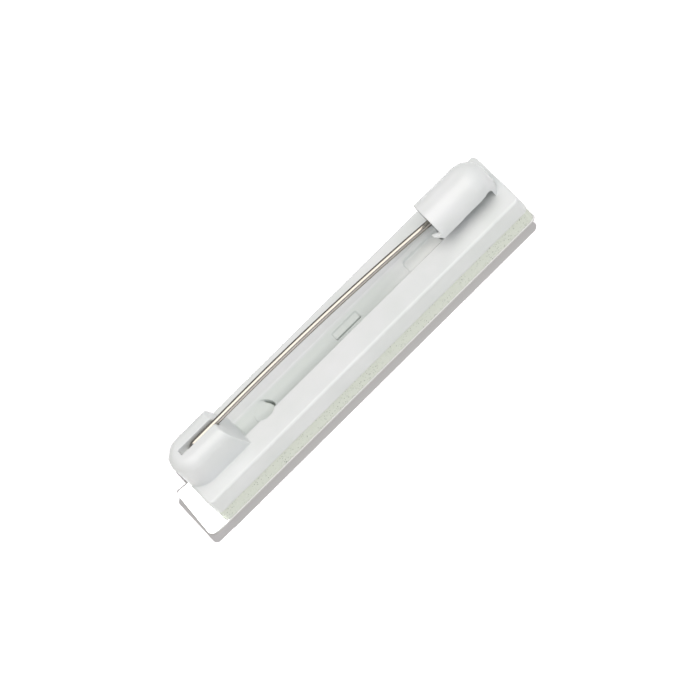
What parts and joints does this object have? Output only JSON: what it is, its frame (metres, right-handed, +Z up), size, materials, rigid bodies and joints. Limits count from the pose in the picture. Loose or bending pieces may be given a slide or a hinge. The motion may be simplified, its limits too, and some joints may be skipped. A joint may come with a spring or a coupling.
{
  "type": "brooch pin finding",
  "caption": "Self-adhesive bar pin for the back of a brooch: a plastic bar on a foam pad with a wire pin that a knuckle holds and a safety hood covers.",
  "frame": {"origin": "centre of the adhesive pad's underside, under the middle of the plastic bar", "axes": "+X along the bar from the knuckle to the hood, +Y away from the hood's slit, +Z up from the adhesive face"},
  "size_m": [0.0335, 0.0064, 0.006],
  "materials": {
    "white_plastic": "moulded, satin",
    "steel_wire": "nickel plated, polished",
    "foam": "closed-cell foam, matt",
    "liner_paper": "coated paper, satin"
  },
  "bodies": {
    "bar": {"base": "white_plastic", "pin_coil": "steel_wire", "foam_pad": "foam", "release_liner": "liner_paper"},
    "pin": {"pin_stem": "steel_wire"}
  },
  "joints": [
    {"name": "pin_swing", "type": "hinge", "parent": "bar", "child": "pin", "pos_m": [-0.0109, 0, 0.00537], "axis": [-0.5, 0, -0.866], "range_deg": [0, 45], "stiffness_Nm_per_rad": 0.01}
  ]
}
